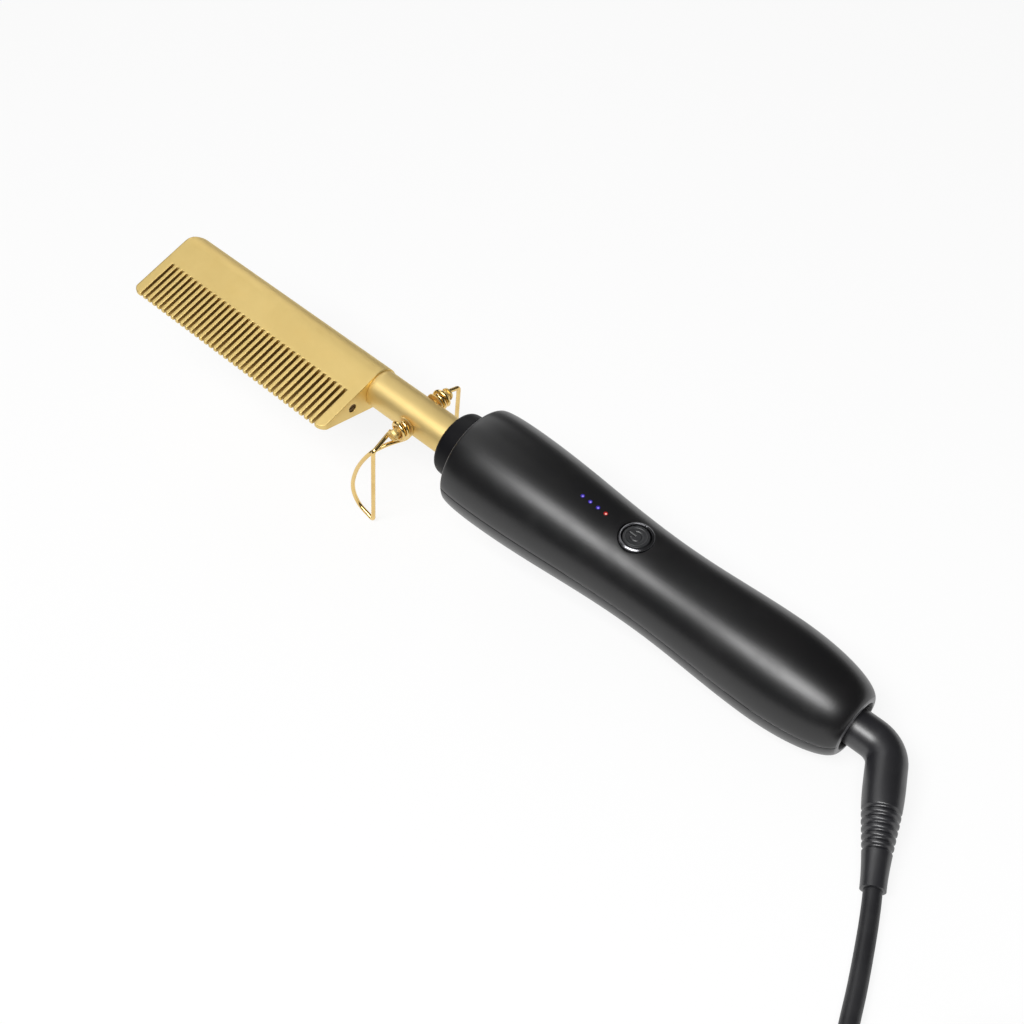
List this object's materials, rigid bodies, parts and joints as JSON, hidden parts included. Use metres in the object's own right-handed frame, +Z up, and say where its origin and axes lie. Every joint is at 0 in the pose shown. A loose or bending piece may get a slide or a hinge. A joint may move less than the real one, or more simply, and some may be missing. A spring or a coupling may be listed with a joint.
{
  "type": "electric hot comb",
  "caption": "Electric hot comb: slotted heated head on a tube neck with a folding wire stand, round handle with a button and lamps, swivel cord and plug.",
  "frame": {"origin": "middle of the comb's box, without its cord, on the surface that it stands on", "axes": "+X from the heated head towards the cord, +Y away from the teeth, +Z up; the comb's own axis dips 9.3 degrees towards +X"},
  "size_m": [0.4496, 0.1462, 0.0665],
  "materials": {
    "head_gold": "satin gold plate over brass",
    "tube_gold": "polished gold plate",
    "wire_gold": "bright gold plate on spring wire",
    "ceramic": "fired white ceramic",
    "glass_bead": "glass bead with fine leads",
    "fuse_metal": "tinned metal case and leads",
    "lead_sleeve": "white heat-proof insulation",
    "woven_sleeve": "varnished glass braid",
    "collar_black": "heat-proof satin plastic",
    "handle_black": "satin moulded plastic",
    "steel": "zinc-plated steel",
    "board_green": "glass-fibre board with solder mask",
    "chip_black": "moulded epoxy",
    "capacitor_amber": "dipped film capacitor",
    "resistor_tan": "lacquered resistor",
    "plunger_grey": "moulded acetal",
    "button_black": "semi-gloss moulded plastic",
    "bezel_silver": "satin chrome plate",
    "led_white": "moulded lamp bodies",
    "lamp_blue": "clear light pipes lit blue",
    "lamp_red": "clear light pipe lit red",
    "lead_brown": "insulated mains leads",
    "socket_ivory": "moulded nylon",
    "contact_copper": "copper alloy contacts",
    "ring_brass": "turned brass",
    "core_black": "moulded nylon",
    "boot_black": "soft moulded vinyl",
    "cord_black": "extruded vinyl jacket",
    "tie_black": "soft flat band",
    "plug_black": "moulded vinyl",
    "blade_nickel": "nickel plate over brass"
  },
  "bodies": {
    "comb": {"comb_head": "head_gold", "end_screw": "head_gold", "heating_rod": "ceramic", "heat_sensor": "glass_bead", "thermal_fuse": "fuse_metal", "heater_leads": "lead_sleeve", "insulating_sleeve": "woven_sleeve", "neck_tube": "tube_gold", "stand_washers": "tube_gold", "stand_screws": "tube_gold", "collar": "collar_black", "neck_flange": "steel", "handle_top": "handle_black", "handle_bottom": "handle_black", "shell_screws": "steel", "circuit_board": "board_green", "board_screws": "steel", "control_chip": "chip_black", "triac": "chip_black", "filter_capacitor": "capacitor_amber", "supply_resistor": "resistor_tan", "switch_housing": "chip_black", "button_bezel": "bezel_silver", "status_leds": "led_white", "blue_lamps": "lamp_blue", "red_lamp": "lamp_red", "mains_leads": "lead_brown", "swivel_socket": "socket_ivory", "contact_springs": "contact_copper"},
    "button": {"button_cap": "button_black", "switch_plunger": "plunger_grey"},
    "stand": {"stand_wire": "wire_gold"},
    "swivel": {"swivel_core": "core_black", "slip_rings": "ring_brass", "cord_boot": "boot_black", "cord": "cord_black", "cord_coil": "cord_black", "cord_tail": "cord_black", "cord_tie": "tie_black", "plug_body": "plug_black", "plug_blades": "blade_nickel"}
  },
  "joints": [
    {"name": "button_press", "type": "slide", "parent": "comb", "child": "button", "axis": [-0.1615, 0, -0.9869], "range_m": [0, 0.0005], "stiffness_N_per_m": 2500, "springref_m": -0.0005},
    {"name": "stand_fold", "type": "hinge", "parent": "comb", "child": "stand", "pos_m": [-0.02651, 0.00287, 0.04131], "axis": [0, -1, 0], "range_deg": [0, 25]},
    {"name": "cord_swivel", "type": "hinge", "parent": "comb", "child": "swivel", "pos_m": [0.14288, 0.00287, 0.01257], "axis": [0.9869, 0, -0.1615], "continuous": true}
  ]
}
